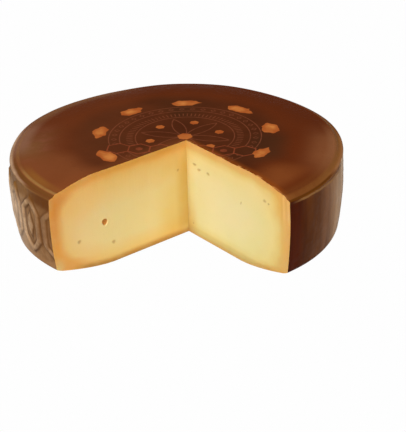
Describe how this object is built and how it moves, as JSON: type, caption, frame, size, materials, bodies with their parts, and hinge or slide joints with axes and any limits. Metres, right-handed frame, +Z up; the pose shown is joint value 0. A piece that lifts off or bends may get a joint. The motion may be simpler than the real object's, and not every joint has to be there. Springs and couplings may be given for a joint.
{
  "type": "honey gouda cheese wheel",
  "caption": "Aged gouda cheese wheel with a brown coated rind, a raised honeycomb frieze on its side and a wedge cut out to show the pale yellow paste.",
  "frame": {"origin": "where the wheel's axis meets the flat underside", "axes": "+Z up along the wheel's axis; the cut-out opens towards -Y"},
  "size_m": [0.339, 0.305, 0.102],
  "materials": {
    "rind_coating": "satin reddish-brown coating on the rind; the cut faces are bare, smooth, pale yellow paste"
  },
  "bodies": {
    "root": {"cheese_wheel": "rind_coating"}
  },
  "joints": []
}
